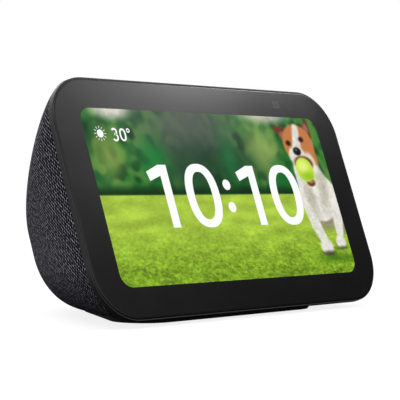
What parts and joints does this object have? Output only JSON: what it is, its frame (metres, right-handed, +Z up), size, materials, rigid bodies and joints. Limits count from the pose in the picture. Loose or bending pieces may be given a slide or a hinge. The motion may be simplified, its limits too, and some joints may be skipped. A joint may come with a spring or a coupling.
{
  "type": "smart display",
  "caption": "Tabletop smart display: a glass-fronted screen leaning back on a wedge-shaped speaker body covered in knitted fabric, with top buttons and a camera shutter.",
  "frame": {"origin": "on the resting surface, under the middle of the object's box", "axes": "+X to the right as seen from the front, +Y to the back, +Z up; the screen faces -Y and leans back 20 degrees"},
  "size_m": [0.147, 0.0911, 0.081],
  "materials": {
    "glass_black": "gloss, printed black border",
    "adhesive": "matte",
    "film": "clear",
    "screen": "lit picture",
    "light_guide": "matte white",
    "steel": "satin",
    "charcoal_plastic": "fine satin",
    "black_plastic": "satin",
    "lens": "gloss",
    "circuit_board": "solder mask",
    "thermal_pad": "matte",
    "aluminium": "satin",
    "connector": "matte",
    "copper": "satin",
    "ribbon": "satin",
    "wire": "satin",
    "mesh": "woven",
    "shell_plastic": "matte",
    "knit_fabric": "fine knit with lighter flecks",
    "painted_steel": "matte",
    "foam": "matte",
    "magnet": "matte",
    "paper": "matte",
    "rubber": "matte",
    "nickel": "polished"
  },
  "bodies": {
    "housing": {"cover_glass": "glass_black", "glass_adhesive": "adhesive", "touch_film": "film", "lcd_panel": "screen", "backlight_unit": "light_guide", "display_tray": "steel", "bezel_frame": "charcoal_plastic", "camera_module": "black_plastic", "camera_lens": "lens", "camera_bracket": "steel", "light_sensor": "black_plastic", "mid_frame": "charcoal_plastic", "frame_screws": "steel", "main_board": "circuit_board", "processor": "black_plastic", "memory_chips": "black_plastic", "shield_can": "steel", "thermal_pad": "thermal_pad", "heat_spreader": "aluminium", "board_connectors": "connector", "board_screws": "steel", "antennas": "copper", "display_ribbon": "ribbon", "camera_ribbon": "ribbon", "button_ribbon": "ribbon", "speaker_wires": "wire", "power_wires": "wire", "top_strip": "charcoal_plastic", "button_board": "circuit_board", "tact_switches": "steel", "microphones": "steel", "mic_mesh": "mesh", "rear_shell": "shell_plastic", "fabric_cover": "knit_fabric", "speaker_grille": "painted_steel", "speaker_gasket": "foam", "speaker_basket": "painted_steel", "speaker_magnet": "magnet", "speaker_surround": "rubber", "speaker_baffle": "black_plastic", "speaker_box": "black_plastic", "speaker_screws": "steel", "power_jack": "black_plastic", "jack_pin": "nickel", "jack_board": "circuit_board", "jack_screws": "steel", "port_ring": "charcoal_plastic", "base_plate": "charcoal_plastic", "base_screws": "steel", "foot_pad": "rubber"},
    "shutter": {"shutter": "charcoal_plastic"},
    "volume_down": {"volume_down_button": "charcoal_plastic"},
    "volume_up": {"volume_up_button": "charcoal_plastic"},
    "mic_off": {"mic_off_button": "charcoal_plastic"},
    "diaphragm": {"speaker_cone": "paper", "dust_cap": "paper", "voice_coil": "copper"}
  },
  "joints": [
    {"name": "shutter_slide", "type": "slide", "parent": "housing", "child": "shutter", "axis": [1, 0, 0], "range_m": [0, 0.007]},
    {"name": "volume_down_press", "type": "slide", "parent": "housing", "child": "volume_down", "axis": [0, -0.4695, -0.8829], "range_m": [0, 0.00055], "stiffness_N_per_m": 400, "springref_m": -0.0003},
    {"name": "volume_up_press", "type": "slide", "parent": "housing", "child": "volume_up", "axis": [0, -0.4695, -0.8829], "range_m": [0, 0.00055], "stiffness_N_per_m": 400, "springref_m": -0.0003},
    {"name": "mic_off_press", "type": "slide", "parent": "housing", "child": "mic_off", "axis": [0, -0.4695, -0.8829], "range_m": [0, 0.00055], "stiffness_N_per_m": 400, "springref_m": -0.0003},
    {"name": "diaphragm_excursion", "type": "slide", "parent": "housing", "child": "diaphragm", "axis": [0, 0.6388, 0.7694], "range_m": [-0.0015, 0.0015], "stiffness_N_per_m": 1200}
  ]
}
